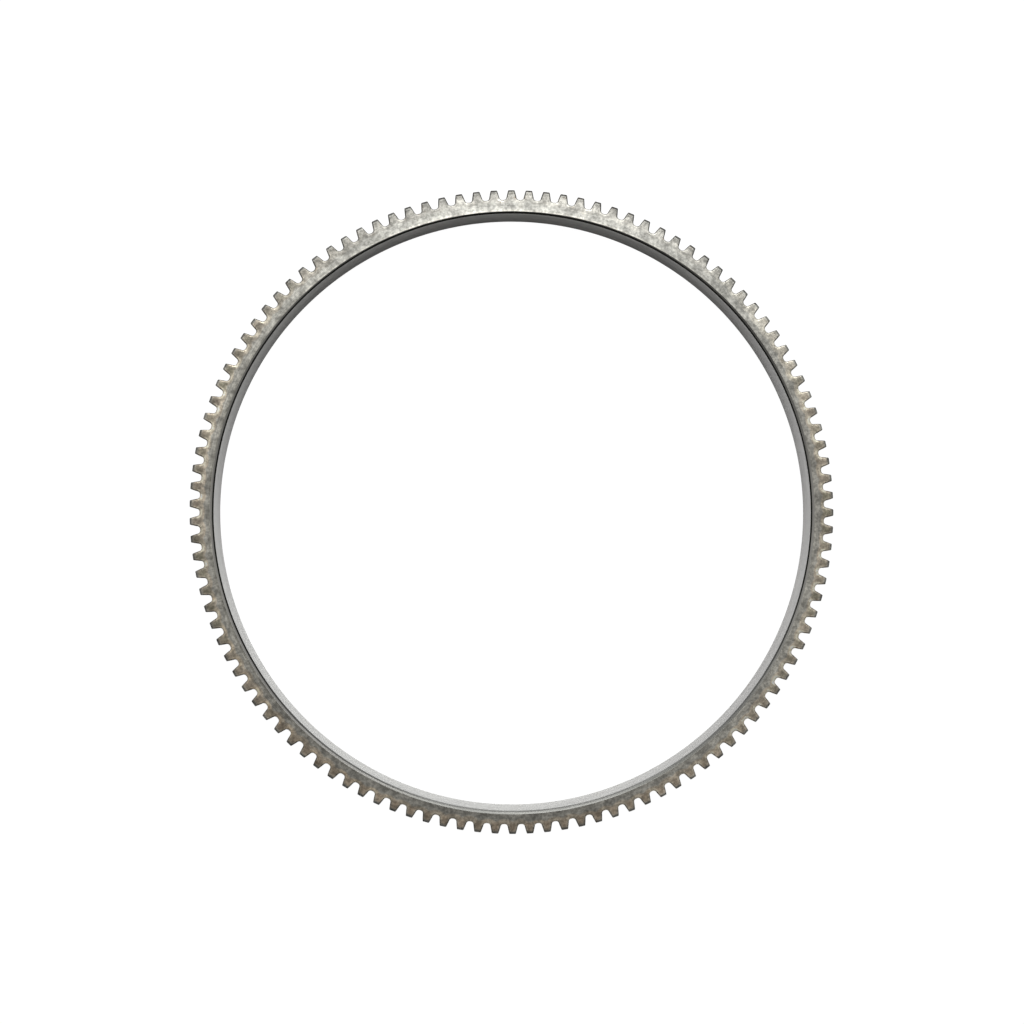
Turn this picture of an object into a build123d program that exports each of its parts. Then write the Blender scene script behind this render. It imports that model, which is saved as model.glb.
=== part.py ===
from build123d import *

import os
from math import acos, cos, isclose, pi, radians, sin, tan

# Flywheel ring gear: one steel ring that is turned all over, hobbed with teeth round its outside and shrunk
# onto the rim of an engine's flywheel, where the pinion of the starter motor turns it.
#
# The axis is Z. Z = 0 is the back face, which the ring lies on. The front face looks up, and has the bevels
# that let the pinion slide in and the lead of the bore. The middle of one tooth lies on +X.
# Lengths are in millimetres and angles in degrees.

# Teeth: a stub form, with the pitch of an 8 pitch gear and the height of a 10 pitch gear
tooth_count = 115
module = 3.175              # pitch diameter over the number of teeth, 25.4 mm over 8
pressure_angle = 14.5
addendum = 2.54             # tooth above the pitch circle, 25.4 mm over 10
dedendum = 3.1              # tooth below the pitch circle
root_fillet = 1.7           # rounding where a flank runs into the floor of the gap
fillet_flat_count = 3       # the rounding is cut as so many flats, within 0.05 mm of it

# Ring
rim_thickness = 7.65        # metal between the bore and the floors of the gaps
face_width = 19.0

# Edges of the front face
tooth_bevel = 0.6           # along the flanks and floors of the gaps, the same on face and flank
tip_bevel_radial = 1.3      # cone turned over the tips of the teeth
tip_bevel_axial = 0.9
bore_break_radial = 0.95    # wide cone between the face and the lead
bore_break_axial = 0.8
bore_lead_radial = 0.8      # steeper cone that leads the flywheel's rim into the bore
bore_lead_axial = 1.0

# Edges of the back face
back_bevel = 0.4            # at the tips of the teeth and at the bore

# Worked out from the above
pitch_radius = module * tooth_count / 2
tip_radius = pitch_radius + addendum
root_radius = pitch_radius - dedendum
base_radius = pitch_radius * cos(radians(pressure_angle))
bore_radius = root_radius - rim_thickness
half_pitch = 180 / tooth_count
cutter_reach = 0.5          # how far a cutter runs past the blank


def involute(angle):
    """How far an involute has turned, in radians, where its pressure angle is this one."""
    return tan(angle) - angle


def flank_point(radius, side):
    """Point at this radius on a flank of the gap on +X: side is 1 for the left flank and -1 for the right."""
    tooth_half_angle = (pi * module / 4 / pitch_radius + involute(radians(pressure_angle))
                        - involute(acos(base_radius / radius)))
    angle = side * (radians(half_pitch) - tooth_half_angle)
    return Vector(radius * cos(angle), radius * sin(angle))


def gap_profile():
    """Section of the space between two teeth, on +X: a floor and two involute flanks, which run on past the
    tips of the teeth."""
    flanks = [
        ThreePointArc(*[flank_point(radius, side) for radius in (root_radius, pitch_radius, tip_radius)])
        for side in (1, -1)
    ]
    ways_out = [Line(flank @ 1, flank @ 1 + flank % 1 * cutter_reach) for flank in flanks]
    floor = Line(flanks[0] @ 0, flanks[1] @ 0)
    sharp = make_face([floor, *flanks, *ways_out, Line(ways_out[0] @ 1, ways_out[1] @ 1)])
    floor_corners = sharp.vertices().sort_by(Axis.X)[:2]
    corner_angle = radians((floor % 0).get_angle(flanks[0] % 0))
    full_round = floor.length / 2 * tan(corner_angle / 2)
    rounding = min(root_fillet, 0.95 * full_round)
    return in_flats(fillet(floor_corners, rounding), rounding)


def in_flats(profile, rounding):
    """The profile with its fillets drawn as flats, which keeps the facets of all the gaps few."""
    edges = []
    for edge in profile.edges():
        if edge.geom_type == GeomType.CIRCLE and isclose(edge.radius, rounding):
            steps = [edge @ (step / fillet_flat_count) for step in range(fillet_flat_count + 1)]
            edges += Polyline(*steps).edges()
        else:
            edges.append(edge)
    return make_face(edges)


def gap_cutter():
    """Cutter for the gap on +X: straight through the ring, with a mouth that flares at the front face."""
    straight = extrude(Pos(Z=-cutter_reach) * gap_profile(), face_width + 2 * cutter_reach)
    mouth = extrude(Pos(Z=face_width - tooth_bevel) * gap_profile(), tooth_bevel + cutter_reach, taper=-45)
    return straight + mouth


def turned_blank():
    """The ring as it leaves the lathe, before its teeth are cut."""
    lead_radius = bore_radius + bore_lead_radial
    face_inner_radius = lead_radius + bore_break_radial
    section = Polyline(
        (bore_radius, 0, back_bevel),
        (bore_radius + back_bevel, 0, 0),
        (tip_radius - back_bevel, 0, 0),
        (tip_radius, 0, back_bevel),
        (tip_radius, 0, face_width - tip_bevel_axial),
        (tip_radius - tip_bevel_radial, 0, face_width),
        (face_inner_radius, 0, face_width),
        (lead_radius, 0, face_width - bore_break_axial),
        (bore_radius, 0, face_width - bore_break_axial - bore_lead_axial),
        close=True,
    )
    return revolve(make_face(section), Axis.Z)


def ring_gear():
    """The blank with its gaps cut, the first of them half a pitch from +X."""
    gaps = PolarLocations(0, tooth_count, start_angle=half_pitch) * gap_cutter()
    return turned_blank() - gaps


os.makedirs("parts", exist_ok=True)
export_step(ring_gear(), "parts/ring_gear.step")
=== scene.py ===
# %% [markdown]
# # A flywheel ring gear
#
# The real thing is a steel hoop with teeth round its outside. Such rings are rolled and welded, or forged,
# turned on a lathe, cut with teeth by a hob, mostly hardened at the teeth, and shrunk onto a
# flywheel. The CAD solid that we load has the sizes, but its tooth roundings are cut as flats and its
# corners are sharp. We keep it as the frame, and build a finer ring of the same sizes over it.

# %% Load the frame
from math import acos, atan2, cos, hypot, pi, radians, sin, sqrt, tan

import bmesh
import bpy
import numpy as np
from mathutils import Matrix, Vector


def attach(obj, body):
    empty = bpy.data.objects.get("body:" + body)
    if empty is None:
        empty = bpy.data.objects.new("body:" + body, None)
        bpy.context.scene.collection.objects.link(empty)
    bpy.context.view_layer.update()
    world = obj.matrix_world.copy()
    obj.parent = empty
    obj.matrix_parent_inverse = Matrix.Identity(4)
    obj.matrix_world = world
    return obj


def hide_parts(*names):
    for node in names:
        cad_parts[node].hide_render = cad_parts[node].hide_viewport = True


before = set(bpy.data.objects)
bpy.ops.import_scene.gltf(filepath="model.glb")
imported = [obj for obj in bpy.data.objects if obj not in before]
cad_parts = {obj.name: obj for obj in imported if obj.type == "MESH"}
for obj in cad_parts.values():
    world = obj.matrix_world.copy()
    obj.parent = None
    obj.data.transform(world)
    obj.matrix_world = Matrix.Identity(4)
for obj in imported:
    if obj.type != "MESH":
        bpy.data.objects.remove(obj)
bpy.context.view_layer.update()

# %% [markdown]
# ## Camera
#
# The photograph looks almost straight down on the ring. The place, tilt and lens below were worked out
# from the circle of the tooth tips and the two edges of the bore. The far edge is a smaller circle than
# the near one. How much smaller gives the distance once the width of the ring is known, and 19 mm was
# taken for that. A wider ring seen from farther off would give the same picture. The small shift is there
# because the ring's middle isn't where the lens points.

# %% Camera
camera_data = bpy.data.cameras.new("photo_camera")
camera_data.lens = 42.007
camera_data.sensor_width = 36
camera_data.shift_x = -0.0414
camera_data.shift_y = 0.0418
camera = bpy.data.objects.new("photo_camera", camera_data)
camera.location = (-0.01690, -0.02099, 0.70561)
camera.rotation_euler = [radians(degrees) for degrees in (-0.2757, -3.2274, -0.1001)]
bpy.context.scene.collection.objects.link(camera)
bpy.context.scene.camera = camera
print("camera height above the floor, mm:", round(camera.location.z * 1000, 1))

# %% [markdown]
# ## Sizes
#
# These repeat the sizes that the solid was made with, in millimetres. A hob leaves a smooth fillet at the
# root of each tooth, and handling leaves no corner quite sharp, so the tips are rounded a little as well.

# %% Sizes of the ring
mm = 0.001
tooth_count = 115
module = 3.175
pressure_angle = radians(14.5)
root_fillet = 1.7
face_width = 19.0
addendum, dedendum = 2.54, 3.1
rim_thickness = 7.65
tip_bevel_radial, tip_bevel_axial = 1.3, 0.9
back_bevel = 0.4
tip_rounding = 0.4

pitch_radius = module * tooth_count / 2
tip_radius = pitch_radius + addendum
root_radius = pitch_radius - dedendum
base_radius = pitch_radius * cos(pressure_angle)
bore_radius = root_radius - rim_thickness
half_pitch = pi / tooth_count
print("outside diameter and bore, mm:", round(2 * tip_radius, 3), round(2 * bore_radius, 3))

# %% [markdown]
# ## The flank of a tooth
#
# A tooth's side is an involute: the path of the end of a taut string that unwinds from a circle. Two
# things follow that make the mesh easy. A line square to the flank is always tangent to that base
# circle, and the same involute turned a little is everywhere the same distance away. So we can walk into
# the metal by an exact distance, which is how the bevel round each tooth gets an even width.

# %% Flank of a tooth
def involute(angle):
    """How far an involute has turned where its pressure angle is this one, in radians."""
    return tan(angle) - angle


def half_angle(radius):
    """Half the angle that a tooth takes up at this radius."""
    at_pitch = pi * module / 4 / pitch_radius + involute(pressure_angle)
    return at_pitch - involute(acos(base_radius / radius))


def string_length(radius):
    """Length of the unwound string where it reaches this radius."""
    return sqrt(radius ** 2 - base_radius ** 2)


fillet_radius = root_radius + root_fillet
fillet_angle = half_angle(fillet_radius) + root_fillet / base_radius
fillet_start = hypot(base_radius, string_length(fillet_radius) - root_fillet)
print("half a tooth's width at tip and root, mm:",
      round(half_angle(tip_radius) * tip_radius, 3), round(half_angle(fillet_start) * fillet_start, 3))

# %% [markdown]
# ## Columns and rows on the end of a tooth
#
# The end of half a tooth is a grid. Columns step in from the flank and rows step down from the tip. Both
# start with the same few narrow steps, so the corner between flank and tip can be bent round: its nodes
# are moved from nested squares onto nested arcs. The bevel falls along the columns, and each drop below
# belongs to the inset above it.

# %% Grid on the end of a tooth
insets = [0, 0.04, 0.12, tip_rounding, 0.50, 0.61, 0.76]
bevel_drops = [0.70, 0.60, 0.48, 0.20, 0.105, 0.03, 0]
edge_drops = [0.07, 0.03, 0, 0, 0, 0, 0]
depths = [0, 0.04, 0.12, tip_rounding, 0.75, 1.18, 1.42, 2.0, 2.7, 3.4, 4.1, tip_radius - fillet_start]
corner = insets.index(tip_rounding)
crease = depths.index(1.42)
last_row = len(depths) - 1
last_column = len(insets) - 1


def tooth_point(column, row):
    """(radius, angle) on the end of a tooth, so many columns in from the flank and rows down from the tip."""
    inset, depth = insets[column], depths[row]
    if column < corner and row < corner:
        step = min(column, row)
        arc = tip_rounding - insets[step]
        turn = radians(45) * (corner - max(column, row)) / (corner - step)
        near, far = tip_rounding - arc * cos(turn), tip_rounding - arc * sin(turn)
        inset, depth = (near, far) if column <= row else (far, near)
    lean = max(0, (row - crease) / (last_row - crease))
    radius = hypot(base_radius, string_length(tip_radius - depth) - lean * inset)
    return radius, half_angle(radius) - inset / base_radius


def tooth_middle(row):
    """(radius, angle) of the middle of a tooth on this row."""
    return tooth_point(last_column, row)[0], 0


print("nodes on half the end of a tooth:", (len(insets) + 1) * len(depths))

# %% [markdown]
# ## The rounding at the root
#
# The fillet is part of a circle that touches the flank and the floor of the gap. Its nodes fan out from
# that circle's centre, so they meet the tooth's last row at one end and the floor at the other.

# %% Fan of nodes round the fillet
fillet_steps = 6


def fillet_point(step, inset):
    """(radius, angle) on the fillet, step 0 at the flank and the last at the floor, so far into the metal."""
    start = fillet_angle - acos(base_radius / fillet_radius) - pi / 2
    end = fillet_angle - pi
    turn = start + (end - start) * step / fillet_steps
    x = fillet_radius * cos(fillet_angle) + (root_fillet + inset) * cos(turn)
    y = fillet_radius * sin(fillet_angle) + (root_fillet + inset) * sin(turn)
    return hypot(x, y), atan2(y, x)


def outline(step):
    """Half a pitch of the ring's outline, from the middle of a gap to the middle of a tooth, a column's inset
    inside the metal."""
    inset = insets[step]
    points = [(root_radius - inset, half_pitch)]
    points += [fillet_point(s, inset) for s in range(fillet_steps, 0, -1)]
    points += [tooth_point(step, max(row, step)) for row in range(last_row, -1, -1)]
    points += [tooth_point(max(column, step), step) for column in range(1, last_column + 1)]
    return points + [tooth_middle(step)]


print("nodes on half a pitch of the outline:", len(outline(0)))

# %% [markdown]
# ## Heights
#
# Seen from above, a node's place is settled. What is left is its height: on the front the bevel and the
# cone that is turned over the tips, whichever cuts deeper, and on the back a light break of the edge.

# %% Heights of the front and the back
def front_height(radius, step):
    """Height of the front at this radius, so many columns in from the edge."""
    cone = tip_bevel_axial * max(0, radius - tip_radius + tip_bevel_radial) / tip_bevel_radial
    return face_width - max(bevel_drops[step], cone + edge_drops[step] if cone else 0)


def back_height(radius, step):
    """Height of the back, where only the tips have a bevel."""
    edge = 0.1 if step == 0 else 0
    return max(edge, back_bevel - (tip_radius - radius), 0)


print("height of the front at a tip's edge, mm:", round(front_height(tip_radius, 0), 3))

# %% [markdown]
# ## Faces of half a pitch
#
# Everything repeats 115 times, and each pitch is its own mirror image, so we only lay out half of one.
# A face is kept as its corners, the finish it gets and the strip of the texture sheet it lies on. Each
# corner also carries its place on that strip, in millimetres, and how far it is from the edge of a
# tooth, which the finishes use for the wear and the scale there.

# %% Collect faces
FACE, TEETH, LEAD, BORE = range(4)
half_faces = []
sheet_radius = 178          # where the strips of the texture sheet have their true length
front_foot, back_foot = 173.6, 172.9    # radius at the foot of the strips of the front and the back
far_in = 5.0                # distance from the teeth's edge that is given to the bore and the back


def corner_of(place, height, along, across, edge):
    """One corner: radius, angle, height, place on the strip and distance from the tooth's edge."""
    return (place[0], place[1], height, along, across, edge)


def add_grid(rows, finish, strip):
    """Fills a grid of corners with four-sided faces."""
    for upper, lower in zip(rows, rows[1:]):
        for k in range(len(upper) - 1):
            half_faces.append(([upper[k], upper[k + 1], lower[k + 1], lower[k]], finish, strip))


def from_outline(place):
    """Distance to the nearest node of the outline, on either side of the middle of the tooth."""
    radius, angle = place
    return min(
        hypot(radius * cos(angle) - r * cos(side * a), radius * sin(angle) - r * sin(side * a))
        for r, a in outline(0) for side in (1, -1))


def front_corner(place, step):
    """A corner on the front, so many columns in from the edge."""
    edge = insets[step] if step < last_column else from_outline(place)
    along, across = place[1] * sheet_radius, place[0] - front_foot
    return corner_of(place, front_height(place[0], step), along, across, edge)


# %% [markdown]
# ## The front: teeth, fillets, floors and the rim
#
# The bevel round a tooth gets the finish of the teeth, and what lies inside it that of the turned face.
# The grid of the teeth ends on a wavy line, and the rim under it runs from that line to plain circles.

# %% Front
def tooth_rows(columns):
    """Rows of corners on the end of a tooth, over these columns."""
    return [[front_corner(tooth_point(c, row), min(c, row)) for c in columns] for row in range(last_row + 1)]


add_grid(tooth_rows(range(last_column + 1)), TEETH, "front")
inner = [
    [front_corner(tooth_point(last_column, row), min(last_column, row)),
     front_corner(tooth_middle(row), min(last_column, row))]
    for row in range(last_row + 1)
]
add_grid(inner, FACE, "front")
fan = [
    [front_corner(fillet_point(s, inset), i) for i, inset in enumerate(insets)]
    for s in range(fillet_steps + 1)
]
floor_edge = [front_corner((root_radius - inset, half_pitch), i) for i, inset in enumerate(insets)]
add_grid(fan + [floor_edge], TEETH, "front")

wavy = [floor_edge[-1]] + [fan[s][-1] for s in range(fillet_steps, -1, -1)] + [inner[-1][-1]]


def rim_row(radius, share):
    """A row of the rim, which goes this share of the way from the wavy line to a circle of this radius."""
    row = []
    for point in wavy:
        place = (point[0] + share * (radius - point[0]), point[1])
        along, across = place[1] * sheet_radius, place[0] - front_foot
        row.append(corner_of(place, face_width, along, across, from_outline(place)))
    return row


plain_circle, next_circle = 177.4, 176.0
rim = [wavy, rim_row(plain_circle, 0.5), rim_row(plain_circle, 1), rim_row(next_circle, 1)]
add_grid(rim, FACE, "front")
print("faces on half a pitch of the front:", len(half_faces))

# %% [markdown]
# ## The bore
#
# A profile of the bore is swept round: the break of the face, the steeper lead, the wall and the break at
# the back. Its corners are softened with a short curve each. The wall needs only every other column of
# the rim, so a row of five-sided faces halves them.

# %% Bore
lead_width, lead_depth = 0.8, 1.0
break_width, break_depth = 0.95, 0.8
lead_radius = bore_radius + lead_width
wall_top = face_width - break_depth - lead_depth
inner_row = 174.5           # the face's rows end here, and the bore's profile begins
profile_corners = [         # radius, height and how far its corner is worn
    (inner_row, face_width, 0),
    (lead_radius + break_width, face_width, 0.2),
    (lead_radius, face_width - break_depth, 0.13),
    (bore_radius, wall_top, 0.13),
    (bore_radius, 11.5, 0),
    (bore_radius, 5.8, 0),
    (bore_radius, back_bevel, 0.13),
    (bore_radius + back_bevel, 0, 0.13),
    (bore_radius + 1.2, 0, 0),
]


def softened(corners):
    """The profile with each worn corner replaced by five points on a short curve."""
    points = []
    for number, (radius, height, reach) in enumerate(corners):
        here = Vector((radius, height))
        if not reach:
            points.append(tuple(here))
            continue
        start = here + (Vector(corners[number - 1][:2]) - here).normalized() * reach
        end = here + (Vector(corners[number + 1][:2]) - here).normalized() * reach
        for t in (0, 0.25, 0.5, 0.75, 1):
            points.append(tuple(start * (1 - t) ** 2 + here * 2 * t * (1 - t) + end * t ** 2))
    return points


bore_profile = softened(profile_corners)
bore_lengths = [0.0]
for before, here in zip(bore_profile, bore_profile[1:]):
    bore_lengths.append(bore_lengths[-1] + hypot(here[0] - before[0], here[1] - before[1]))
bore_angles = [point[1] for point in wavy[::2]]
bore_rows = [
    [corner_of((radius, angle), height, angle * sheet_radius, length, far_in) for angle in bore_angles]
    for (radius, height), length in zip(bore_profile, bore_lengths)
]
for row, next_row in zip(bore_rows, bore_rows[1:]):
    height = (row[0][2] + next_row[0][2]) / 2
    finish = FACE if height > face_width - 0.01 else LEAD if height > wall_top + 0.1 else BORE
    add_grid([row, next_row], finish, "bore")

for k, (left, right) in enumerate(zip(bore_rows[0], bore_rows[0][1:])):
    lower = [corner_of(c[:2], c[2], c[3], c[0] - front_foot, c[5]) for c in (right, left)]
    half_faces.append((rim[-1][2 * k:2 * k + 3] + lower, FACE, "front"))
print("points on the profile of the bore:", len(bore_profile))

# %% [markdown]
# ## Flanks, tips and floors, and the back
#
# The outline is swept straight down from the front's edge to the back's. The back is nobody's show side:
# its edge is broken, and the rest is one flat many-sided face for each half pitch.

# %% Outer wall and back
edge_line = outline(0)
wall_lengths = [0.0]
for before, here in zip(edge_line, edge_line[1:]):
    step = hypot(here[0] - before[0], (here[1] - before[1]) * here[0])
    wall_lengths.append(wall_lengths[-1] + step)
half_outline = wall_lengths[-1]


def wall_row(height_at):
    """A row of corners on the outer wall. Along the strip, a tooth's middle is at 0."""
    return [corner_of(p, height_at(p[0]), half_outline - s, height_at(p[0]), 0.0)
            for p, s in zip(edge_line, wall_lengths)]


wall = [
    wall_row(lambda radius: front_height(radius, 0)),
    wall_row(lambda radius: 13.0),
    wall_row(lambda radius: 6.5),
    wall_row(lambda radius: back_height(radius, 0)),
]
add_grid(wall, TEETH, "wall")


def back_row(step):
    """A row of corners round the edge of the back."""
    return [corner_of(p, back_height(p[0], step), p[1] * sheet_radius, p[0] - back_foot, insets[step])
            for p in outline(step)]


back = [back_row(0), back_row(2), back_row(corner)]
add_grid(back, TEETH, "back")
inside = [corner_of(c[:2], c[2], c[3], c[0] - back_foot, far_in) for c in reversed(bore_rows[-1])]
half_faces.append((back[-1] + inside, FACE, "back"))
print("faces on half a pitch:", len(half_faces), "and its outline is", round(half_outline, 2), "mm long")

# %% [markdown]
# ## The texture sheet
#
# When the model is exported, its finish is baked onto a square sheet. A ring laid out flat wastes most
# of a square, so we cut it into strips of some teeth each and stack them, all to one scale.

# %% Strips of the texture sheet
strip_height = {"front": 11.6, "bore": bore_lengths[-1], "back": 12.4, "wall": face_width}
strip_teeth = {"front": 29, "bore": 29, "back": 29, "wall": 17}
strip_pitch = {name: 2 * half_pitch * sheet_radius for name in ("front", "bore", "back")}
strip_pitch["wall"] = 2 * half_outline
margin = 1.2
strip_start = {}
sheet = margin
for name in strip_height:
    strip_start[name] = sheet
    sheet += (strip_height[name] + margin) * -(-tooth_count // strip_teeth[name])
print("side of the texture sheet, mm:", round(sheet, 1))


def sheet_place(strip, tooth, along, across):
    """Place on the sheet, from 0 to 1, of a point beside this tooth's middle."""
    row, column = divmod(tooth, strip_teeth[strip])
    right = margin + (column + 0.5) * strip_pitch[strip] + along
    up = strip_start[strip] + row * (strip_height[strip] + margin) + across
    return right / sheet, up / sheet


# %% [markdown]
# ## The whole ring
#
# Each half pitch is mirrored and turned round the axis, 115 times. The depth of the bevels wanders slowly
# round the ring, as it would where they were dressed by hand. In the photograph the wide break of the
# bore is narrow on the north side, and here the face reaches in there too, by about as much as was
# measured in the picture. The solid has it even all round. Why the real one is uneven isn't known.
#
# Then nodes in the same place are joined, which makes the skin watertight, and the normals are weighted
# by area: large flat faces stay flat, and the narrow ones beside them read as rounded edges.

# %% Build the ring
def wander(angle):
    """Slow change of the bevel's depth round the ring, between about -1 and 1."""
    return 0.5 * np.sin(3 * angle + 1) + 0.3 * np.sin(17 * angle + 2) + 0.2 * np.sin(61 * angle)


def off_centre(angle):
    """How much farther in, in millimetres, the face reaches on the north side of the ring."""
    return 0.9 * np.clip(np.cos(angle - radians(98)), 0, 1) ** 2


corner_data = np.array([c for face, _, _ in half_faces for c in face])
sizes = [len(face) for face, _, _ in half_faces]
places, uvs, edges, finishes, face_sizes = [], [], [], [], []
for tooth in range(tooth_count):
    for side in (1, -1):
        radius, height = corner_data[:, 0], corner_data[:, 2]
        angle = side * corner_data[:, 1] + 2 * half_pitch * tooth
        on_bevel = (height > 17.5) & (radius > root_radius - 1)
        height = np.where(on_bevel, face_width - (face_width - height) * (1 + 0.08 * wander(angle)), height)
        across_break = np.clip((radius - lead_radius) / break_width, 0, 1)
        at_break = (radius < inner_row - 0.2) & (height > 18)
        radius = np.where(at_break, radius - off_centre(angle) * across_break, radius)
        places.append(np.column_stack([radius * np.cos(angle), radius * np.sin(angle), height]))
        edges.append(corner_data[:, 5])
        for (face, finish, strip), size in zip(half_faces, sizes):
            uvs += [sheet_place(strip, tooth, side * c[3], c[4]) for c in face]
            finishes.append(finish)
            face_sizes.append(size)
places = np.concatenate(places) * mm
edges = np.concatenate(edges)

mesh = bpy.data.meshes.new("ring_gear_skin")
starts = np.concatenate([[0], np.cumsum(face_sizes)])
mesh.from_pydata(places.tolist(), [], [list(range(a, b)) for a, b in zip(starts, starts[1:])])
mesh.polygons.foreach_set("material_index", finishes)
uv_map = mesh.uv_layers.new(name="OFBake")
uv_map.data.foreach_set("uv", np.array(uvs, dtype=np.float32).ravel())
edge_distance = mesh.attributes.new("edge_distance", "FLOAT", "POINT")
edge_distance.data.foreach_set("value", edges.astype(np.float32))

skin = bmesh.new()
skin.from_mesh(mesh)
bmesh.ops.remove_doubles(skin, verts=skin.verts, dist=2e-6)
bmesh.ops.recalc_face_normals(skin, faces=skin.faces)
for face in skin.faces:
    face.smooth = True
open_edges = sum(1 for edge in skin.edges if len(edge.link_faces) != 2)
print("corners:", len(skin.verts), "faces:", len(skin.faces), "edges without two faces:", open_edges)
skin.to_mesh(mesh)
skin.free()

ring = bpy.data.objects.new("ring_gear_skin", mesh)
bpy.context.scene.collection.objects.link(ring)
weighted = ring.modifiers.new("flat faces stay flat", "WEIGHTED_NORMAL")
weighted.weight = 90
mesh.calc_loop_triangles()
print("triangles:", len(mesh.loop_triangles))

# %% [markdown]
# ## Helpers for nodes
#
# A shader is a graph, and most of its nodes are small sums. These helpers add one node each, so that a
# finish further down reads as a list of steps.

# %% Node helpers
def add_node(tree, kind, **settings):
    """A new node with its settings."""
    node = tree.nodes.new(kind)
    for name, value in settings.items():
        setattr(node, name, value)
    return node


def feed(tree, socket, value):
    """Links a socket to another's output, or sets it to a number or colour."""
    if isinstance(value, bpy.types.NodeSocket):
        tree.links.new(value, socket)
    else:
        socket.default_value = value


def calculate(tree, operation, *values, clamp=False):
    """A Math node."""
    node = add_node(tree, "ShaderNodeMath", operation=operation, use_clamp=clamp)
    for socket, value in zip(node.inputs, values):
        feed(tree, socket, value)
    return node.outputs[0]


def rescale(tree, value, low, high, to_low=0.0, to_high=1.0):
    """Turns a value between low and high smoothly into one between the other two."""
    node = add_node(tree, "ShaderNodeMapRange", interpolation_type="SMOOTHSTEP")
    for socket, number in zip(node.inputs, (value, low, high, to_low, to_high)):
        feed(tree, socket, number)
    return node.outputs[0]


def blend_colour(tree, share, first, second, way="MIX"):
    """Mixes two colours."""
    node = add_node(tree, "ShaderNodeMix", data_type="RGBA", blend_type=way)
    feed(tree, node.inputs[0], share)
    feed(tree, node.inputs[6], first)
    feed(tree, node.inputs[7], second)
    return node.outputs[2]


def noise(tree, vector, scale, detail=2.0, roughness=0.5):
    """Soft noise between 0 and 1."""
    node = add_node(tree, "ShaderNodeTexNoise")
    feed(tree, node.inputs["Vector"], vector)
    feed(tree, node.inputs["Scale"], scale)
    feed(tree, node.inputs["Detail"], detail)
    feed(tree, node.inputs["Roughness"], roughness)
    return node.outputs[0]


def new_group(name, inputs, outputs):
    """An empty node group. inputs gives each number's starting value, outputs each socket's kind."""
    group = bpy.data.node_groups.new(name, "ShaderNodeTree")
    for label, value in inputs.items():
        socket = group.interface.new_socket(label, in_out="INPUT", socket_type="NodeSocketFloat")
        socket.default_value = value
    for label, kind in outputs.items():
        group.interface.new_socket(label, in_out="OUTPUT", socket_type="NodeSocket" + kind)
    return group, group.nodes.new("NodeGroupInput").outputs, group.nodes.new("NodeGroupOutput").inputs


def place_group(tree, group, **values):
    """Puts a group into a material with its own values, and gives its outputs."""
    node = add_node(tree, "ShaderNodeGroup", node_tree=group)
    for label, value in values.items():
        feed(tree, node.inputs[label.replace("_", " ")], value)
    return node.outputs


print("node helpers are ready")

# %% [markdown]
# ## Where on the ring
#
# Nearly everything on this part runs round an axis: the tool marks, the hardened zone, the scale. So the
# first group turns a place on the object into a radius, an angle and a height, and into lathe
# coordinates for noise that is drawn out into long arcs.

# %% Group: place on the ring
ring_place, given, result = new_group(
    "place on the ring", {},
    {"Radius": "Float", "Height": "Float", "Angle": "Float", "East": "Float", "North": "Float"})
here = add_node(ring_place, "ShaderNodeTexCoord").outputs["Object"]
split = add_node(ring_place, "ShaderNodeSeparateXYZ")
feed(ring_place, split.inputs[0], here)
x, y, z = split.outputs
squares = [calculate(ring_place, "MULTIPLY", part, part) for part in (x, y)]
radius_m = calculate(ring_place, "SQRT", calculate(ring_place, "ADD", *squares))
feed(ring_place, result["Radius"], calculate(ring_place, "MULTIPLY", radius_m, 1000.0))
feed(ring_place, result["Height"], calculate(ring_place, "MULTIPLY", z, 1000.0))
feed(ring_place, result["Angle"], calculate(ring_place, "ARCTAN2", y, x))
feed(ring_place, result["East"], calculate(ring_place, "DIVIDE", x, radius_m))
feed(ring_place, result["North"], calculate(ring_place, "DIVIDE", y, radius_m))
print("group:", ring_place.name)

# %% [markdown]
# ## One side of the ring
#
# In the photograph the steel looks lighter on some sides of the ring than on others. Part of that is heat,
# scale and oil, which are never even, and part is how the studio's light fell. One picture can't tell the
# two apart. The lights further down give the broad fall from top to bottom, and what was left over was set
# by measured brightness, side by side with the photograph, as a tint of the steel. So these
# tints hold some light and shade that isn't in the metal: for a ring that is to be lit in another way, take
# them out first. This group gives their mask, full at one direction and fading away on both sides of it.

# %% Group: one side of the ring
one_side, given, result = new_group(
    "one side of the ring", {"Towards": 0.0, "Reach": 60.0}, {"Mask": "Float"})
place = place_group(one_side, ring_place)
apart = calculate(one_side, "SUBTRACT", place["Angle"], calculate(one_side, "RADIANS", given["Towards"]))
edge = calculate(one_side, "COSINE", calculate(one_side, "RADIANS", given["Reach"]))
feed(one_side, result["Mask"], rescale(one_side, calculate(one_side, "COSINE", apart), edge, 1.0))
print("group:", one_side.name)

# %% [markdown]
# ## Tool marks
#
# A lathe tool leaves one fine groove for each turn of the work. Noise that changes quickly across the
# groove and very slowly along it looks like that, and it never shows a seam because the direction along
# is given as a point on a circle.

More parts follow.
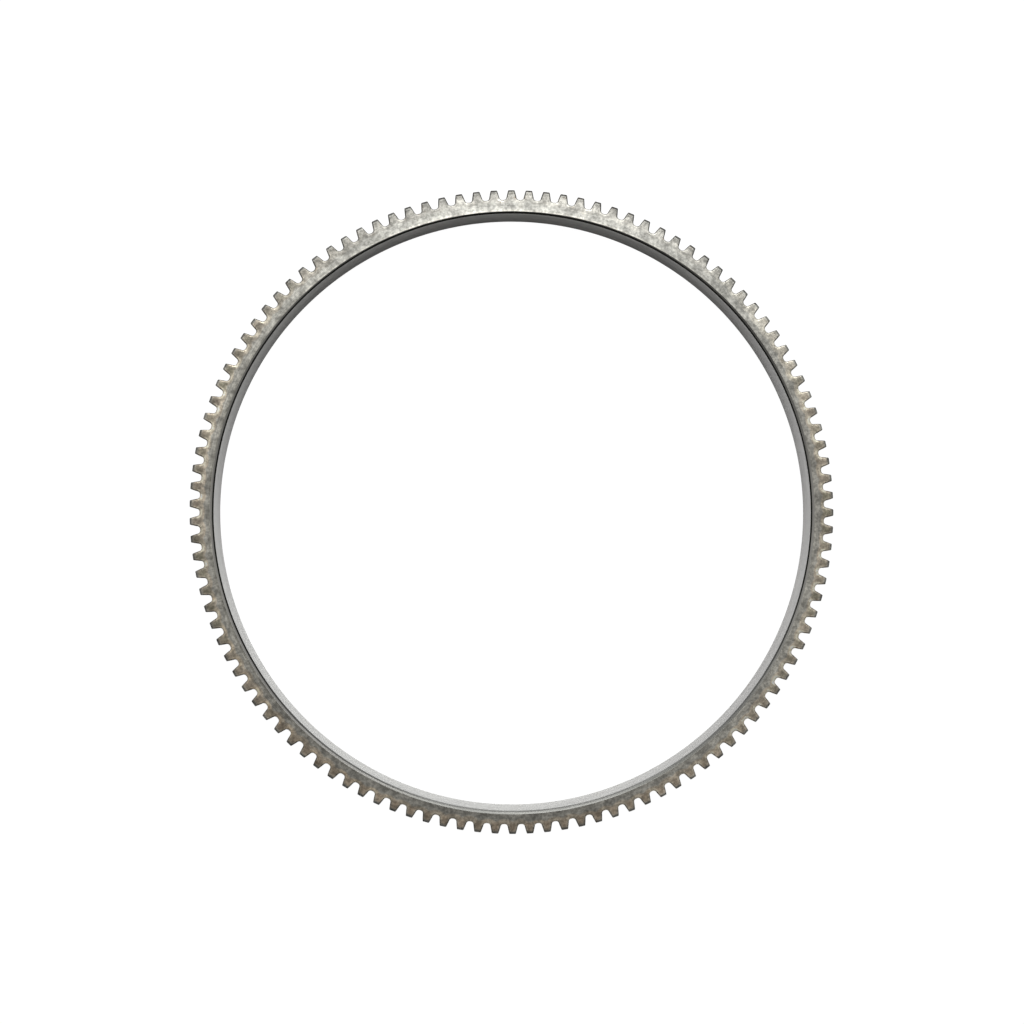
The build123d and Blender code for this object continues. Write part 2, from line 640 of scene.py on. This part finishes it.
# %% Group: turning lines
turning, given, result = new_group(
    "turning lines", {"Across": 0.0, "Lines per mm": 4.0, "Waver": 3.0}, {"Lines": "Float", "Bands": "Float"})
place = place_group(turning, ring_place)
for label, rate in (("Lines", 1.0), ("Bands", 0.17)):
    spot = add_node(turning, "ShaderNodeCombineXYZ")
    feed(turning, spot.inputs[0], calculate(turning, "MULTIPLY", place["East"], given["Waver"]))
    feed(turning, spot.inputs[1], calculate(turning, "MULTIPLY", place["North"], given["Waver"]))
    across = calculate(turning, "MULTIPLY", given["Across"], given["Lines per mm"])
    feed(turning, spot.inputs[2], calculate(turning, "MULTIPLY", across, rate))
    feed(turning, result[label], noise(turning, spot.outputs[0], 1.0, 3.0, 0.6))
print("group:", turning.name)

# %% [markdown]
# ## Blotches
#
# Quenching oil bakes on in spots, and fingers and water leave small stains. The group cuts spots out of
# noise: Cover says how much of the surface they take, Softness how their edges fade.

# %% Group: blotches
blotches, given, result = new_group(
    "blotches", {"Size": 3.0, "Cover": 0.3, "Softness": 0.1}, {"Mask": "Float"})
here = add_node(blotches, "ShaderNodeTexCoord").outputs["Object"]
spots = noise(blotches, here, calculate(blotches, "DIVIDE", 1000.0, given["Size"]), 3.0, 0.62)
level = rescale(blotches, given["Cover"], 0.0, 1.0, 0.72, 0.28)
full = calculate(blotches, "ADD", level, given["Softness"])
feed(blotches, result["Mask"], rescale(blotches, spots, level, full))
print("group:", blotches.name)

# %% [markdown]
# ## Tempered steel, with painted light and shade
#
# The teeth of such a ring are usually heated and quenched, and the thin oxide that is left shows temper
# colours: straw, brown, purple and blue. What the photograph shows looks like that, and it follows the
# shape of the teeth. The heart of each tooth is browner, the tips are grey, and inside the roots the tint
# ends in a wavy line. Light and shade are painted in too: a pale line along the root of each gap is a
# painted highlight, the dark rims on the bevels round the teeth are painted shade, and the steel is
# painted lighter or darker on some sides. So the group reads the distance from the outline that the mesh
# carries, as well as the radius, and both the face and the flanks take their colour from it. The factors
# were set beside the photograph, as said under One side of the ring.

# %% Group: tempered steel, with painted light and shade
def times(tree, share, colour, factor):
    """Multiplies a colour by a factor, to this share."""
    return blend_colour(tree, share, colour, (*factor, 1), "MULTIPLY")


machined = (0.40, 0.387, 0.345, 1)
tempered_and_painted_light, given, result = new_group(
    "tempered steel", {"Edge distance": 5.0, "Depth": 2.3, "Fade": 0.9}, {"Colour": "Color"})
place = place_group(tempered_and_painted_light, ring_place)
radius, edge = place["Radius"], given["Edge distance"]
here = add_node(tempered_and_painted_light, "ShaderNodeTexCoord").outputs["Object"]
clouds = noise(tempered_and_painted_light, here, 170.0, 4.0, 0.62)
grit = noise(tempered_and_painted_light, here, 520.0, 3.0, 0.62)
patches = noise(tempered_and_painted_light, here, 42.0, 2.0, 0.5)
bare = blend_colour(tempered_and_painted_light, 1.0, machined, rescale(tempered_and_painted_light, clouds, 0.34, 0.66, 0.74, 1.26), "MULTIPLY")
bare = blend_colour(tempered_and_painted_light, 1.0, bare, rescale(tempered_and_painted_light, grit, 0.36, 0.64, 0.76, 1.24), "MULTIPLY")
north = place_group(tempered_and_painted_light, one_side, Towards=82.0, Reach=85.0)["Mask"]
south = place_group(tempered_and_painted_light, one_side, Towards=265.0, Reach=62.0)["Mask"]
# painted light: the bare steel is lighter in the south-east and in the west, partly its tone and partly how
# light falls there
south_east_painted_light = place_group(tempered_and_painted_light, one_side, Towards=322.0, Reach=40.0)["Mask"]
bare = times(tempered_and_painted_light, south_east_painted_light, bare, (1.36, 1.36, 1.36))
west = place_group(tempered_and_painted_light, one_side, Towards=176.0, Reach=62.0)["Mask"]
west = calculate(tempered_and_painted_light, "MULTIPLY", west, rescale(tempered_and_painted_light, radius, 178.2, 179.6, 1.0, 0.0))
bare = times(tempered_and_painted_light, west, bare, (1.22, 1.22, 1.22))
bare = times(tempered_and_painted_light, north, bare, (0.98, 1.0, 1.03))

# how far in the tint reaches: along the outline of the teeth, and smoother farther in
depth = calculate(tempered_and_painted_light, "ADD", calculate(tempered_and_painted_light, "MULTIPLY", edge, 0.6),
                  calculate(tempered_and_painted_light, "MULTIPLY", calculate(tempered_and_painted_light, "SUBTRACT", root_radius, radius), 0.4))
limit = calculate(tempered_and_painted_light, "ADD", given["Depth"], rescale(tempered_and_painted_light, patches, 0.3, 0.7, -0.7, 0.7))
zone = rescale(tempered_and_painted_light, depth, limit, calculate(tempered_and_painted_light, "ADD", limit, given["Fade"]), 1.0, 0.0)
straw = calculate(tempered_and_painted_light, "MULTIPLY", zone, rescale(tempered_and_painted_light, north, 0.0, 1.0, 1.0, 0.1))
colour = times(tempered_and_painted_light, straw, bare, (1.26, 1.15, 1.04))

# the pale line along the roots: a painted highlight where the root bevels catch light, strongest in the south
# and none in the north
line = calculate(tempered_and_painted_light, "SUBTRACT",
                 rescale(tempered_and_painted_light, edge, 0.25, 0.85), rescale(tempered_and_painted_light, edge, 1.15, 2.3))
line = calculate(tempered_and_painted_light, "MULTIPLY", line, rescale(tempered_and_painted_light, radius, 180.1, 181.6, 1.0, 0.1))
line = calculate(tempered_and_painted_light, "MULTIPLY", line, rescale(tempered_and_painted_light, clouds, 0.35, 0.6, 0.5, 1.1))
tan_side = place_group(tempered_and_painted_light, one_side, Towards=222.0, Reach=34.0)["Mask"]
strength = rescale(tempered_and_painted_light, calculate(tempered_and_painted_light, "SUBTRACT", south, tan_side), 0.0, 1.0, 1.0, 0.25)
strength = calculate(tempered_and_painted_light, "MULTIPLY", strength, rescale(tempered_and_painted_light, north, 0.0, 1.0, 1.0, 0.0))
line = calculate(tempered_and_painted_light, "MULTIPLY", line, strength)
pale = blend_colour(tempered_and_painted_light, tan_side, (2.1, 2.0, 1.78, 1), (1.8, 1.55, 1.28, 1))
colour = blend_colour(tempered_and_painted_light, line, colour, blend_colour(tempered_and_painted_light, 1.0, bare, pale, "MULTIPLY"))

# the brown heart of each tooth
heart = rescale(tempered_and_painted_light, edge, 0.7, 1.8)
heart = calculate(tempered_and_painted_light, "MULTIPLY", heart, rescale(tempered_and_painted_light, radius, 177.6, 180.2))
heart = calculate(tempered_and_painted_light, "MULTIPLY", heart, rescale(tempered_and_painted_light, radius, 183.0, 184.3, 1.0, 0.0))
heart = calculate(tempered_and_painted_light, "MULTIPLY", heart, rescale(tempered_and_painted_light, north, 0.0, 1.0, 0.9, 0.0))
deep = blend_colour(tempered_and_painted_light, rescale(tempered_and_painted_light, patches, 0.38, 0.6),
                    (0.82, 0.79, 0.66, 1), (0.88, 0.78, 0.70, 1))
deep = blend_colour(tempered_and_painted_light, south, deep, (1.26, 1.06, 0.89, 1))
colour = blend_colour(tempered_and_painted_light, heart, colour, blend_colour(tempered_and_painted_light, 1.0, bare, deep, "MULTIPLY"))

# grey towards the tips, and bluish in the south-west; in the north the tips are painted much darker, partly
# dark scale and partly painted shade
blue = place_group(tempered_and_painted_light, one_side, Towards=241.0, Reach=20.0)["Mask"]
north_tip_scale_and_shade = place_group(tempered_and_painted_light, one_side, Towards=80.0, Reach=48.0)["Mask"]
tip = rescale(tempered_and_painted_light, radius, rescale(tempered_and_painted_light, north_tip_scale_and_shade, 0.0, 1.0, 182.4, 180.6), 185.0)
scaled = blend_colour(tempered_and_painted_light, north_tip_scale_and_shade, (1.0, 1.03, 1.06, 1), (0.30, 0.30, 0.30, 1))
scaled = blend_colour(tempered_and_painted_light, blue, scaled, (0.70, 0.76, 0.82, 1))
colour = blend_colour(tempered_and_painted_light, tip, colour, blend_colour(tempered_and_painted_light, 1.0, bare, scaled, "MULTIPLY"))

# painted shade: dark rims on the bevels round the teeth, darker on the flanks than along the roots
rim = rescale(tempered_and_painted_light, edge, 0.3, 0.95, 1.0, 0.0)
rim = calculate(tempered_and_painted_light, "MULTIPLY", rim, rescale(tempered_and_painted_light, radius, 179.9, 181.6, 0.3, 0.85))
colour = times(tempered_and_painted_light, rim, colour, (0.40, 0.39, 0.38))
colour = times(tempered_and_painted_light, rescale(tempered_and_painted_light, edge, 0.02, 0.3, 1.0, 0.0), colour, (0.42, 0.40, 0.37))
spots = place_group(tempered_and_painted_light, blotches, Size=3.2, Cover=0.36, Softness=0.1)["Mask"]
spots = calculate(tempered_and_painted_light, "MULTIPLY", spots, zone)
spots = calculate(tempered_and_painted_light, "MULTIPLY", spots, rescale(tempered_and_painted_light, edge, 1.0, 2.4, 1.0, 0.2))
colour = times(tempered_and_painted_light, calculate(tempered_and_painted_light, "MULTIPLY", spots, 0.6), colour, (0.66, 0.52, 0.42))
# darker in the north-west and lighter in the north-east: partly the steel's tone, partly painted shade and
# painted light
north_west = place_group(tempered_and_painted_light, one_side, Towards=124.0, Reach=32.0)["Mask"]
colour = times(tempered_and_painted_light, calculate(tempered_and_painted_light, "MULTIPLY", north_west, zone), colour, (0.72, 0.72, 0.72))
north_east = place_group(tempered_and_painted_light, one_side, Towards=30.0, Reach=26.0)["Mask"]
colour = times(tempered_and_painted_light, calculate(tempered_and_painted_light, "MULTIPLY", north_east, zone), colour, (1.25, 1.25, 1.23))
feed(tempered_and_painted_light, result["Colour"], colour)
print("group:", tempered_and_painted_light.name)

# %% [markdown]
# ## Finishes
#
# Four finishes share the groups above. All are bare steel, so all are metallic, and what sets them apart
# is colour, how rough they are and which way their marks run.

# %% A steel material
def new_steel(name, colour, roughness):
    """A metallic material, its node tree and its shader."""
    material = bpy.data.materials.new(name)
    material.use_nodes = True
    tree = material.node_tree
    shader = tree.nodes["Principled BSDF"]
    shader.inputs["Metallic"].default_value = 1.0
    shader.inputs["Base Color"].default_value = (*colour, 1)
    shader.inputs["Roughness"].default_value = roughness
    return material, tree, shader


def add_bump(tree, shader, height, distance, strength=1.0):
    """Small relief. distance is in metres."""
    bump = add_node(tree, "ShaderNodeBump")
    bump.inputs["Strength"].default_value = strength
    bump.inputs["Distance"].default_value = distance
    feed(tree, bump.inputs["Height"], height)
    feed(tree, shader.inputs["Normal"], bump.outputs[0])


print("finishes: turned face, hardened teeth, lead scale with painted shade, bored wall")

# %% [markdown]
# ## The turned face
#
# Fine grooves run round it, with broader bands where the feed of the tool changed its mark, and soft stains
# lie over them. Next to the bore the face is painted lighter on the north side, a painted highlight along
# that edge, and darker on the west side. They look like a burnished edge and thin scale, but that is a
# guess from one picture.

# %% Finish: turned face
def edge_attribute(tree):
    """The distance from the outline of the teeth, in millimetres, as the mesh carries it."""
    return add_node(tree, "ShaderNodeAttribute", attribute_name="edge_distance").outputs["Fac"]


face_finish, tree, shader = new_steel("turned face", machined[:3], 0.38)
place = place_group(tree, ring_place)
lines = place_group(tree, turning, Across=place["Radius"], Lines_per_mm=5.0, Waver=4.0)
steel = place_group(tree, tempered_and_painted_light, Edge_distance=edge_attribute(tree))
stain = place_group(tree, blotches, Size=6.0, Cover=0.34, Softness=0.2)["Mask"]
marks = rescale(tree, lines["Lines"], 0.36, 0.64, 0.88, 1.12)
colour = blend_colour(tree, 1.0, steel["Colour"], marks, "MULTIPLY")
colour = times(tree, calculate(tree, "MULTIPLY", stain, 0.5), colour, (0.66, 0.62, 0.56))
west = place_group(tree, one_side, Towards=185.0, Reach=75.0)["Mask"]
for ring_radius, towards in ((176.0, 95.0), (175.3, 150.0), (176.7, 140.0)):
    groove = calculate(tree, "SUBTRACT", rescale(tree, place["Radius"], ring_radius - 0.35, ring_radius),
                       rescale(tree, place["Radius"], ring_radius, ring_radius + 0.35))
    there = place_group(tree, one_side, Towards=towards, Reach=50.0)["Mask"]
    colour = times(tree, calculate(tree, "MULTIPLY", groove, there), colour, (0.8, 0.8, 0.8))
# darker next to the bore on the west side
near_bore = rescale(tree, place["Radius"], 173.6, 175.4, 1.0, 0.0)
west_edge_darkening = calculate(tree, "MULTIPLY", calculate(tree, "MULTIPLY", west, near_bore), 0.7)
colour = times(tree, west_edge_darkening, colour, (0.62, 0.62, 0.6))
# painted highlight: the face's edge at the bore is lighter on the north side
north = place_group(tree, one_side, Towards=88.0, Reach=60.0)["Mask"]
north_edge_highlight = calculate(tree, "MULTIPLY", north, rescale(tree, place["Radius"], 173.0, 174.3, 1.0, 0.0))
colour = times(tree, north_edge_highlight, colour, (1.42, 1.4, 1.38))
for towards, inner, outer in ((208.0, 173.7, 174.9), (186.5, 173.6, 174.3), (211.5, 173.5, 174.0)):
    nick = place_group(tree, one_side, Towards=towards, Reach=1.1)["Mask"]
    across = calculate(tree, "SUBTRACT", rescale(tree, place["Radius"], inner - 0.3, inner),
                       rescale(tree, place["Radius"], outer, outer + 0.3))
    nick = calculate(tree, "MULTIPLY", nick, across)
    nick = calculate(tree, "MULTIPLY", nick, rescale(tree, lines["Lines"], 0.4, 0.6))
    colour = times(tree, nick, colour, (2.1, 2.1, 2.1))
feed(tree, shader.inputs["Base Color"], colour)
banded = rescale(tree, lines["Bands"], 0.3, 0.7, 0.33, 0.42)
oily = calculate(tree, "MULTIPLY", stain, 0.06)
feed(tree, shader.inputs["Roughness"], calculate(tree, "ADD", banded, oily))
add_bump(tree, shader, lines["Lines"], 0.00002)

# %% [markdown]
# ## The hardened teeth
#
# Flanks, tips and bevels take the same colour, with dark spots as of oil, and the faint ripple that a hob
# leaves along them. The photograph shows almost nothing of the flanks, so these are a guess.

# %% Finish: hardened teeth
teeth_finish, tree, shader = new_steel("hardened teeth", machined[:3], 0.42)
place = place_group(tree, ring_place)
steel = place_group(tree, tempered_and_painted_light, Edge_distance=edge_attribute(tree), Depth=20.0)
oil = place_group(tree, blotches, Size=2.2, Cover=0.3, Softness=0.12)["Mask"]
ripple = place_group(tree, turning, Across=place["Height"], Lines_per_mm=2.0, Waver=40.0)
colour = times(tree, calculate(tree, "MULTIPLY", oil, 0.7), steel["Colour"], (0.4, 0.37, 0.33))
feed(tree, shader.inputs["Base Color"], colour)
feed(tree, shader.inputs["Roughness"], rescale(tree, oil, 0.0, 1.0, 0.38, 0.52))
add_bump(tree, shader, ripple["Lines"], 0.00003)

# %% [markdown]
# ## The lead
#
# The wide break and the steep lead are nearly black in the north of the photograph and grey in the south.
# Their dark colour is partly scale and partly painted shade: the fall from grey in the south to black in the
# north is painted shade where bright steel mirrors a dark room, painted in because that holds the look of
# the photograph with simple lights. Of all the finishes this is the least certain.

# %% Finish: lead, scale with painted shade
lead_finish, tree, shader = new_steel("lead scale with painted shade", (0.3, 0.27, 0.24), 0.4)
place = place_group(tree, ring_place)
lines = place_group(tree, turning, Across=place["Radius"], Lines_per_mm=7.0, Waver=5.0)
steep = rescale(tree, place["Radius"], 172.5, 172.75, 1.0, 0.0)
north = place_group(tree, one_side, Towards=90.0, Reach=85.0)["Mask"]
south = place_group(tree, one_side, Towards=278.0, Reach=75.0)["Mask"]
bright = place_group(tree, one_side, Towards=272.0, Reach=30.0)["Mask"]
# painted shade: the break and the lead are painted near black in the north and lighter in the south
break_colour = blend_colour(tree, north, (0.42, 0.41, 0.38, 1), (0.07, 0.07, 0.065, 1))
break_colour = blend_colour(tree, south, break_colour, (0.13, 0.13, 0.12, 1))
break_colour = blend_colour(tree, bright, break_colour, (0.17, 0.17, 0.16, 1))
south_west = place_group(tree, one_side, Towards=223.0, Reach=30.0)["Mask"]
break_colour = blend_colour(tree, south_west, break_colour, (0.28, 0.275, 0.26, 1))
lead_colour = blend_colour(tree, south, (0.018, 0.018, 0.016, 1), (0.24, 0.24, 0.23, 1))
scale = blend_colour(tree, steep, break_colour, lead_colour)
colour = blend_colour(tree, 1.0, scale, rescale(tree, lines["Lines"], 0.3, 0.7, 0.8, 1.15), "MULTIPLY")
feed(tree, shader.inputs["Base Color"], colour)
feed(tree, shader.inputs["Roughness"], rescale(tree, lines["Bands"], 0.3, 0.7, 0.34, 0.46))
add_bump(tree, shader, lines["Lines"], 0.00002)

# %% [markdown]
# ## The bored wall
#
# The wall that grips the flywheel is usually bored last, and here it is the smoothest of the surfaces. Its
# north side is painted darker and its south side lighter, to match the photograph: painted shade and painted
# light.

# %% Finish: bored wall
bore_finish, tree, shader = new_steel("bored wall", (0.5, 0.47, 0.43), 0.34)
place = place_group(tree, ring_place)
lines = place_group(tree, turning, Across=place["Height"], Lines_per_mm=3.5, Waver=4.0)
stain = place_group(tree, blotches, Size=9.0, Cover=0.36, Softness=0.2)["Mask"]
north = place_group(tree, one_side, Towards=100.0, Reach=80.0)["Mask"]
south = place_group(tree, one_side, Towards=245.0, Reach=85.0)["Mask"]
# painted shade in the north and painted light in the south of the wall's colour
wall_tone_and_painted_shade = blend_colour(tree, north, (0.49, 0.485, 0.475, 1), (0.37, 0.365, 0.35, 1))
wall_tone_and_painted_shade = blend_colour(tree, south, wall_tone_and_painted_shade, (0.61, 0.61, 0.595, 1))
bare = blend_colour(tree, 1.0, wall_tone_and_painted_shade, rescale(tree, lines["Lines"], 0.3, 0.7, 0.84, 1.1), "MULTIPLY")
colour = blend_colour(tree, calculate(tree, "MULTIPLY", stain, 0.3), bare, (0.25, 0.2, 0.15, 1))
feed(tree, shader.inputs["Base Color"], colour)
feed(tree, shader.inputs["Roughness"], rescale(tree, lines["Bands"], 0.3, 0.7, 0.28, 0.44))
add_bump(tree, shader, lines["Lines"], 0.00002)

for finish in (face_finish, teeth_finish, lead_finish, bore_finish):
    mesh.materials.append(finish)

# %% [markdown]
# ## The ring takes the solid's place
#
# It rides on the part's one body and stands for the solid, which stays hidden in the same place.

# %% Hand over
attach(ring, "root")
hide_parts("ring_gear")

# %% [markdown]
# ## The floor
#
# The photograph has a plain white ground. A pale floor gives that, and it throws light back up at the
# bevels and the wall of the bore. To the camera alone the floor is nearly all glow, because the ground in
# the photograph is pure white and shows no shadow. What the ring itself reflects is the lit floor.

# %% Floor
floor_mesh = bpy.data.meshes.new("floor")
floor_size = 4.0
floor_corners = [(floor_size * a, floor_size * b, 0) for a, b in ((-1, -1), (1, -1), (1, 1), (-1, 1))]
floor_mesh.from_pydata(floor_corners, [], [(0, 1, 2, 3)])
floor = bpy.data.objects.new("floor", floor_mesh)
bpy.context.scene.collection.objects.link(floor)
floor_finish = bpy.data.materials.new("pale floor")
floor_finish.use_nodes = True
floor_shader = floor_finish.node_tree.nodes["Principled BSDF"]
floor_shader.inputs["Base Color"].default_value = (0.93, 0.93, 0.93, 1)
floor_shader.inputs["Roughness"].default_value = 0.9
floor_shader.inputs["Specular IOR Level"].default_value = 0.0
floor_tree = floor_finish.node_tree
glow = add_node(floor_tree, "ShaderNodeEmission")
mixed = add_node(floor_tree, "ShaderNodeMixShader")
glow.inputs["Strength"].default_value = 1.06
from_camera = add_node(floor_tree, "ShaderNodeLightPath").outputs["Is Camera Ray"]
seen = calculate(floor_tree, "MULTIPLY", from_camera, 0.94)
feed(floor_tree, mixed.inputs[0], seen)
feed(floor_tree, mixed.inputs[1], floor_shader.outputs[0])
feed(floor_tree, mixed.inputs[2], glow.outputs[0])
feed(floor_tree, floor_tree.nodes["Material Output"].inputs["Surface"], mixed.outputs[0])
floor_mesh.materials.append(floor_finish)
print("floor, m across:", 2 * floor_size)

# %% [markdown]
# ## The light
#
# The light in the photograph is broad and soft and comes from the top of the picture: the face of the
# ring is bright there and darkens to the bottom. So a large panel stands on that side, and the world
# around is brighter there too and darker near the horizon. This gives the broad fall of light. The
# smaller steps from side to side are in the tints of the steel, as said above.

# %% Light
def add_panel(name, place, aim, size, power):
    """A square soft light that looks at a point."""
    data = bpy.data.lights.new(name, "AREA")
    data.shape = "SQUARE"
    data.size = size
    data.energy = power
    panel = bpy.data.objects.new(name, data)
    panel.location = place
    panel.rotation_euler = (Vector(aim) - Vector(place)).to_track_quat("-Z", "Y").to_euler()
    bpy.context.scene.collection.objects.link(panel)
    return panel


add_panel("north_panel", (0, 1.08, 0.93), (0, 0, 0), 1.15, 19)

world = bpy.data.worlds.new("studio")
bpy.context.scene.world = world
world.use_nodes = True
sky = world.node_tree
background = sky.nodes["Background"]
direction = add_node(sky, "ShaderNodeTexCoord").outputs["Generated"]
split = add_node(sky, "ShaderNodeSeparateXYZ")
feed(sky, split.inputs[0], direction)
feed(sky, background.inputs["Color"], (1, 1, 1, 1))
towards_north = rescale(sky, split.outputs[1], -0.6, 0.8, 0.19, 0.68)
above_horizon = rescale(sky, split.outputs[2], 0.0, 0.35, 0.55, 1.0)
feed(sky, background.inputs["Strength"], calculate(sky, "MULTIPLY", towards_north, above_horizon))
bpy.context.scene.view_settings.view_transform = "Standard"
print("lights: one panel and the world")
